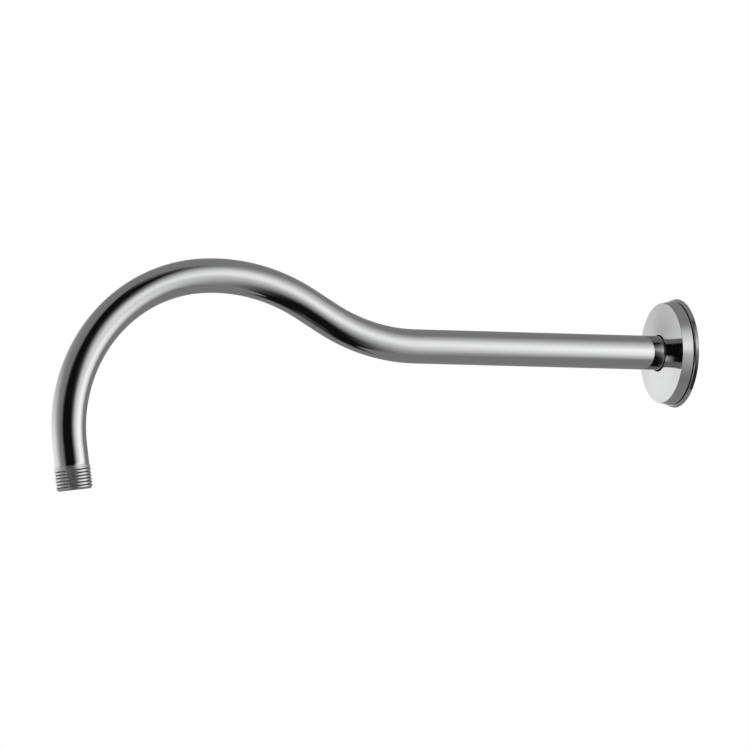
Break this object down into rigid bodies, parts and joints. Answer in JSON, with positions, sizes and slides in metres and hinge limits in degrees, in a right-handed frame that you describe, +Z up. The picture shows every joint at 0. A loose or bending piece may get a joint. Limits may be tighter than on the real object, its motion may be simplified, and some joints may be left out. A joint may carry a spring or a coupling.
{
  "type": "shower arm",
  "caption": "Gooseneck shower arm: a bent chromed tube with a pipe thread at each end and a round wall flange that slides and turns on its straight run.",
  "frame": {"origin": "centre of the flange's back plane, which is the finished wall, on the axis of the inlet thread", "axes": "+X out of the wall along the straight run, +Z up, with both bends and the outlet in the XZ plane"},
  "size_m": [0.3998, 0.0638, 0.1352],
  "materials": {
    "tube_chrome": "polished chrome plate on brass",
    "flange_chrome": "polished chrome plate on brass",
    "ring_rubber": "smooth black rubber"
  },
  "bodies": {
    "arm": {"arm_tube": "tube_chrome"},
    "grip": {"grip_ring": "ring_rubber"},
    "flange": {"wall_flange": "flange_chrome"}
  },
  "joints": [
    {"name": "flange_slide", "type": "slide", "parent": "arm", "child": "grip", "axis": [1, 0, 0], "range_m": [0, 0.15]},
    {"name": "flange_turn", "type": "hinge", "parent": "grip", "child": "flange", "pos_m": [0.0058, 0, 0], "axis": [1, 0, 0], "continuous": true}
  ]
}
